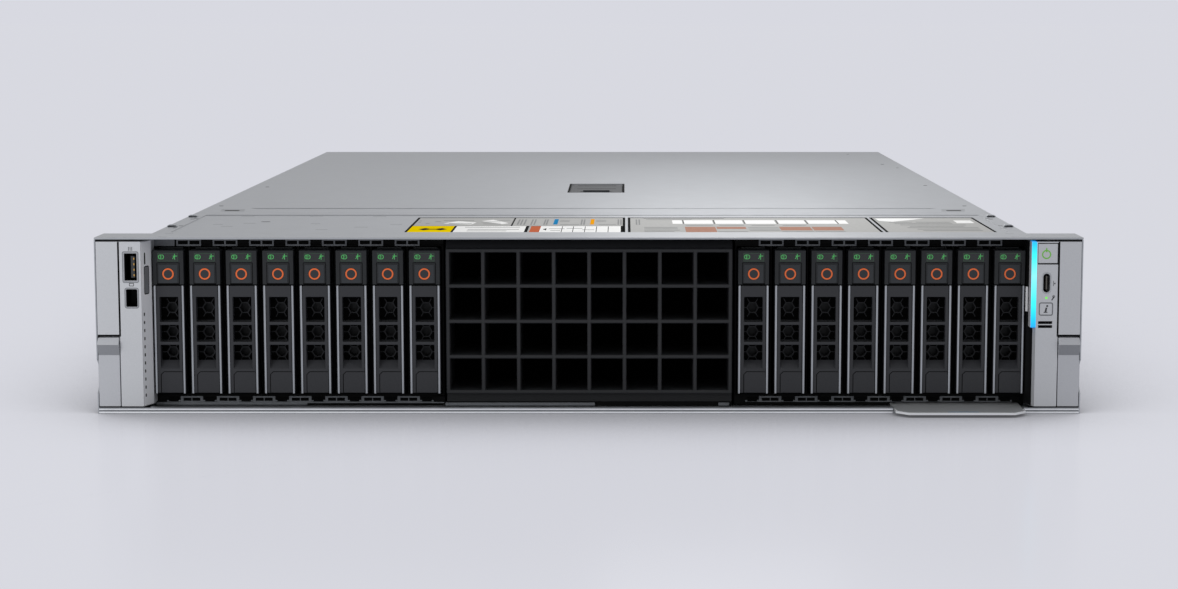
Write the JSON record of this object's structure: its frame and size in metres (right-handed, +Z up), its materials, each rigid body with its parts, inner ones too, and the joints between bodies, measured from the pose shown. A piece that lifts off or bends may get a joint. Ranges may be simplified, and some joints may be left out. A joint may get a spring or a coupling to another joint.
{
  "type": "rack server",
  "caption": "Low rack-mount server with front drive carriers, a central air grille, ear control panels, a lift-off top cover and two slide-in power supplies.",
  "frame": {"origin": "middle of the underside of the whole server", "axes": "+X to the right seen from the front, +Y from the drives to the rear, +Z up"},
  "size_m": [0.482, 0.7712, 0.088],
  "materials": {
    "case_steel": "zinc-plated steel sheet, satin",
    "cover_steel": "coated steel sheet, satin",
    "ear_plastic": "silver moulded ABS",
    "latch_plastic": "silver moulded ABS",
    "black_plastic": "black moulded PC/ABS",
    "carrier_plastic": "dark moulded PC/ABS with steel cheeks",
    "lever_plastic": "dark moulded PC/ABS",
    "grille_plastic": "dark moulded PC/ABS",
    "cage_steel": "black coated steel sheet",
    "tag_plastic": "grey moulded sheet",
    "circuit_board": "glass-fibre board",
    "fin_aluminium": "extruded, bare",
    "supply_steel": "plated steel",
    "latch_black": "black moulded handle",
    "button_silver": "moulded cap"
  },
  "bodies": {
    "server_case": {"chassis": "case_steel", "left_control_panel": "ear_plastic", "right_control_panel": "ear_plastic", "drive_cages": "cage_steel", "air_grille": "grille_plastic", "front_cover": "cover_steel", "backplanes": "circuit_board", "fan_cage": "black_plastic", "system_board": "circuit_board", "heat_sink": "fin_aluminium", "memory_modules": "circuit_board", "air_shroud": "black_plastic", "riser_cages": "supply_steel"},
    "top_cover": {"top_cover": "cover_steel"},
    "cover_latch": {"cover_latch": "latch_black"},
    "left_rack_latch": {"left_rack_latch": "latch_plastic"},
    "right_rack_latch": {"right_rack_latch": "latch_plastic"},
    "power_button": {"power_button": "button_silver"},
    "id_button": {"id_button": "button_silver"},
    "info_tag": {"info_tag": "tag_plastic"},
    "psu_1": {"psu_1": "supply_steel"},
    "psu_2": {"psu_2": "supply_steel"},
    "fan_rotor_1": {"fan_rotor_1": "black_plastic"},
    "fan_rotor_2": {"fan_rotor_2": "black_plastic"},
    "fan_rotor_3": {"fan_rotor_3": "black_plastic"},
    "fan_rotor_4": {"fan_rotor_4": "black_plastic"},
    "fan_rotor_5": {"fan_rotor_5": "black_plastic"},
    "fan_rotor_6": {"fan_rotor_6": "black_plastic"},
    "drive_carrier_01": {"drive_carrier_01": "carrier_plastic"},
    "drive_carrier_02": {"drive_carrier_02": "carrier_plastic"},
    "drive_carrier_03": {"drive_carrier_03": "carrier_plastic"},
    "drive_carrier_04": {"drive_carrier_04": "carrier_plastic"},
    "drive_carrier_05": {"drive_carrier_05": "carrier_plastic"},
    "drive_carrier_06": {"drive_carrier_06": "carrier_plastic"},
    "drive_carrier_07": {"drive_carrier_07": "carrier_plastic"},
    "drive_carrier_08": {"drive_carrier_08": "carrier_plastic"},
    "drive_carrier_09": {"drive_carrier_09": "carrier_plastic"},
    "drive_carrier_10": {"drive_carrier_10": "carrier_plastic"},
    "drive_carrier_11": {"drive_carrier_11": "carrier_plastic"},
    "drive_carrier_12": {"drive_carrier_12": "carrier_plastic"},
    "drive_carrier_13": {"drive_carrier_13": "carrier_plastic"},
    "drive_carrier_14": {"drive_carrier_14": "carrier_plastic"},
    "drive_carrier_15": {"drive_carrier_15": "carrier_plastic"},
    "drive_carrier_16": {"drive_carrier_16": "carrier_plastic"},
    "drive_lever_01": {"drive_lever_01": "lever_plastic"},
    "drive_lever_02": {"drive_lever_02": "lever_plastic"},
    "drive_lever_03": {"drive_lever_03": "lever_plastic"},
    "drive_lever_04": {"drive_lever_04": "lever_plastic"},
    "drive_lever_05": {"drive_lever_05": "lever_plastic"},
    "drive_lever_06": {"drive_lever_06": "lever_plastic"},
    "drive_lever_07": {"drive_lever_07": "lever_plastic"},
    "drive_lever_08": {"drive_lever_08": "lever_plastic"},
    "drive_lever_09": {"drive_lever_09": "lever_plastic"},
    "drive_lever_10": {"drive_lever_10": "lever_plastic"},
    "drive_lever_11": {"drive_lever_11": "lever_plastic"},
    "drive_lever_12": {"drive_lever_12": "lever_plastic"},
    "drive_lever_13": {"drive_lever_13": "lever_plastic"},
    "drive_lever_14": {"drive_lever_14": "lever_plastic"},
    "drive_lever_15": {"drive_lever_15": "lever_plastic"},
    "drive_lever_16": {"drive_lever_16": "lever_plastic"}
  },
  "joints": [
    {"name": "top_cover_lift", "type": "slide", "parent": "server_case", "child": "top_cover", "axis": [0, 0, 1], "range_m": [0, 0.2]},
    {"name": "cover_latch_turn", "type": "hinge", "parent": "top_cover", "child": "cover_latch", "pos_m": [0, -0.00904, 0.0849], "axis": [-1, 0, 0], "range_deg": [0, 80]},
    {"name": "left_rack_latch_turn", "type": "hinge", "parent": "server_case", "child": "left_rack_latch", "pos_m": [-0.235, -0.36945, 0.036], "axis": [-1, 0, 0], "range_deg": [0, 25], "stiffness_Nm_per_rad": 0.02, "springref_deg": -20.05},
    {"name": "right_rack_latch_turn", "type": "hinge", "parent": "server_case", "child": "right_rack_latch", "pos_m": [0.235, -0.36945, 0.036], "axis": [-1, 0, 0], "range_deg": [0, 25], "stiffness_Nm_per_rad": 0.02, "springref_deg": -20.05},
    {"name": "power_button_press", "type": "slide", "parent": "server_case", "child": "power_button", "axis": [0, 1, 0], "range_m": [0, 0.0015], "stiffness_N_per_m": 400, "springref_m": -0.001},
    {"name": "id_button_press", "type": "slide", "parent": "server_case", "child": "id_button", "axis": [0, 1, 0], "range_m": [0, 0.0015], "stiffness_N_per_m": 400, "springref_m": -0.001},
    {"name": "info_tag_pull", "type": "slide", "parent": "server_case", "child": "info_tag", "axis": [0, -1, 0], "range_m": [-0.009, 0.07]},
    {"name": "psu_1_pull", "type": "slide", "parent": "server_case", "child": "psu_1", "axis": [0, 1, 0], "range_m": [0, 0.18]},
    {"name": "psu_2_pull", "type": "slide", "parent": "server_case", "child": "psu_2", "axis": [0, 1, 0], "range_m": [0, 0.18]},
    {"name": "fan_rotor_1_spin", "type": "hinge", "parent": "server_case", "child": "fan_rotor_1", "pos_m": [-0.175, -0.16265, 0.0412], "axis": [0, 1, 0], "continuous": true},
    {"name": "fan_rotor_2_spin", "type": "hinge", "parent": "server_case", "child": "fan_rotor_2", "pos_m": [-0.105, -0.16265, 0.0412], "axis": [0, 1, 0], "continuous": true},
    {"name": "fan_rotor_3_spin", "type": "hinge", "parent": "server_case", "child": "fan_rotor_3", "pos_m": [-0.035, -0.16265, 0.0412], "axis": [0, 1, 0], "continuous": true},
    {"name": "fan_rotor_4_spin", "type": "hinge", "parent": "server_case", "child": "fan_rotor_4", "pos_m": [0.035, -0.16265, 0.0412], "axis": [0, 1, 0], "continuous": true},
    {"name": "fan_rotor_5_spin", "type": "hinge", "parent": "server_case", "child": "fan_rotor_5", "pos_m": [0.105, -0.16265, 0.0412], "axis": [0, 1, 0], "continuous": true},
    {"name": "fan_rotor_6_spin", "type": "hinge", "parent": "server_case", "child": "fan_rotor_6", "pos_m": [0.175, -0.16265, 0.0412], "axis": [0, 1, 0], "continuous": true},
    {"name": "drive_carrier_01_pull", "type": "slide", "parent": "server_case", "child": "drive_carrier_01", "axis": [0, -1, 0], "range_m": [0, 0.11]},
    {"name": "drive_carrier_02_pull", "type": "slide", "parent": "server_case", "child": "drive_carrier_02", "axis": [0, -1, 0], "range_m": [0, 0.11]},
    {"name": "drive_carrier_03_pull", "type": "slide", "parent": "server_case", "child": "drive_carrier_03", "axis": [0, -1, 0], "range_m": [0, 0.11]},
    {"name": "drive_carrier_04_pull", "type": "slide", "parent": "server_case", "child": "drive_carrier_04", "axis": [0, -1, 0], "range_m": [0, 0.11]},
    {"name": "drive_carrier_05_pull", "type": "slide", "parent": "server_case", "child": "drive_carrier_05", "axis": [0, -1, 0], "range_m": [0, 0.11]},
    {"name": "drive_carrier_06_pull", "type": "slide", "parent": "server_case", "child": "drive_carrier_06", "axis": [0, -1, 0], "range_m": [0, 0.11]},
    {"name": "drive_carrier_07_pull", "type": "slide", "parent": "server_case", "child": "drive_carrier_07", "axis": [0, -1, 0], "range_m": [0, 0.11]},
    {"name": "drive_carrier_08_pull", "type": "slide", "parent": "server_case", "child": "drive_carrier_08", "axis": [0, -1, 0], "range_m": [0, 0.11]},
    {"name": "drive_carrier_09_pull", "type": "slide", "parent": "server_case", "child": "drive_carrier_09", "axis": [0, -1, 0], "range_m": [0, 0.11]},
    {"name": "drive_carrier_10_pull", "type": "slide", "parent": "server_case", "child": "drive_carrier_10", "axis": [0, -1, 0], "range_m": [0, 0.11]},
    {"name": "drive_carrier_11_pull", "type": "slide", "parent": "server_case", "child": "drive_carrier_11", "axis": [0, -1, 0], "range_m": [0, 0.11]},
    {"name": "drive_carrier_12_pull", "type": "slide", "parent": "server_case", "child": "drive_carrier_12", "axis": [0, -1, 0], "range_m": [0, 0.11]},
    {"name": "drive_carrier_13_pull", "type": "slide", "parent": "server_case", "child": "drive_carrier_13", "axis": [0, -1, 0], "range_m": [0, 0.11]},
    {"name": "drive_carrier_14_pull", "type": "slide", "parent": "server_case", "child": "drive_carrier_14", "axis": [0, -1, 0], "range_m": [0, 0.11]},
    {"name": "drive_carrier_15_pull", "type": "slide", "parent": "server_case", "child": "drive_carrier_15", "axis": [0, -1, 0], "range_m": [0, 0.11]},
    {"name": "drive_carrier_16_pull", "type": "slide", "parent": "server_case", "child": "drive_carrier_16", "axis": [0, -1, 0], "range_m": [0, 0.11]},
    {"name": "drive_lever_01_turn", "type": "hinge", "parent": "drive_carrier_01", "child": "drive_lever_01", "pos_m": [-0.207, -0.35745, 0.011], "axis": [1, 0, 0], "range_deg": [0, 60]},
    {"name": "drive_lever_02_turn", "type": "hinge", "parent": "drive_carrier_02", "child": "drive_lever_02", "pos_m": [-0.189, -0.35745, 0.011], "axis": [1, 0, 0], "range_deg": [0, 60]},
    {"name": "drive_lever_03_turn", "type": "hinge", "parent": "drive_carrier_03", "child": "drive_lever_03", "pos_m": [-0.171, -0.35745, 0.011], "axis": [1, 0, 0], "range_deg": [0, 60]},
    {"name": "drive_lever_04_turn", "type": "hinge", "parent": "drive_carrier_04", "child": "drive_lever_04", "pos_m": [-0.153, -0.35745, 0.011], "axis": [1, 0, 0], "range_deg": [0, 60]},
    {"name": "drive_lever_05_turn", "type": "hinge", "parent": "drive_carrier_05", "child": "drive_lever_05", "pos_m": [-0.135, -0.35745, 0.011], "axis": [1, 0, 0], "range_deg": [0, 60]},
    {"name": "drive_lever_06_turn", "type": "hinge", "parent": "drive_carrier_06", "child": "drive_lever_06", "pos_m": [-0.117, -0.35745, 0.011], "axis": [1, 0, 0], "range_deg": [0, 60]},
    {"name": "drive_lever_07_turn", "type": "hinge", "parent": "drive_carrier_07", "child": "drive_lever_07", "pos_m": [-0.099, -0.35745, 0.011], "axis": [1, 0, 0], "range_deg": [0, 60]},
    {"name": "drive_lever_08_turn", "type": "hinge", "parent": "drive_carrier_08", "child": "drive_lever_08", "pos_m": [-0.081, -0.35745, 0.011], "axis": [1, 0, 0], "range_deg": [0, 60]},
    {"name": "drive_lever_09_turn", "type": "hinge", "parent": "drive_carrier_09", "child": "drive_lever_09", "pos_m": [0.081, -0.35745, 0.011], "axis": [1, 0, 0], "range_deg": [0, 60]},
    {"name": "drive_lever_10_turn", "type": "hinge", "parent": "drive_carrier_10", "child": "drive_lever_10", "pos_m": [0.099, -0.35745, 0.011], "axis": [1, 0, 0], "range_deg": [0, 60]},
    {"name": "drive_lever_11_turn", "type": "hinge", "parent": "drive_carrier_11", "child": "drive_lever_11", "pos_m": [0.117, -0.35745, 0.011], "axis": [1, 0, 0], "range_deg": [0, 60]},
    {"name": "drive_lever_12_turn", "type": "hinge", "parent": "drive_carrier_12", "child": "drive_lever_12", "pos_m": [0.135, -0.35745, 0.011], "axis": [1, 0, 0], "range_deg": [0, 60]},
    {"name": "drive_lever_13_turn", "type": "hinge", "parent": "drive_carrier_13", "child": "drive_lever_13", "pos_m": [0.153, -0.35745, 0.011], "axis": [1, 0, 0], "range_deg": [0, 60]},
    {"name": "drive_lever_14_turn", "type": "hinge", "parent": "drive_carrier_14", "child": "drive_lever_14", "pos_m": [0.171, -0.35745, 0.011], "axis": [1, 0, 0], "range_deg": [0, 60]},
    {"name": "drive_lever_15_turn", "type": "hinge", "parent": "drive_carrier_15", "child": "drive_lever_15", "pos_m": [0.189, -0.35745, 0.011], "axis": [1, 0, 0], "range_deg": [0, 60]},
    {"name": "drive_lever_16_turn", "type": "hinge", "parent": "drive_carrier_16", "child": "drive_lever_16", "pos_m": [0.207, -0.35745, 0.011], "axis": [1, 0, 0], "range_deg": [0, 60]}
  ]
}
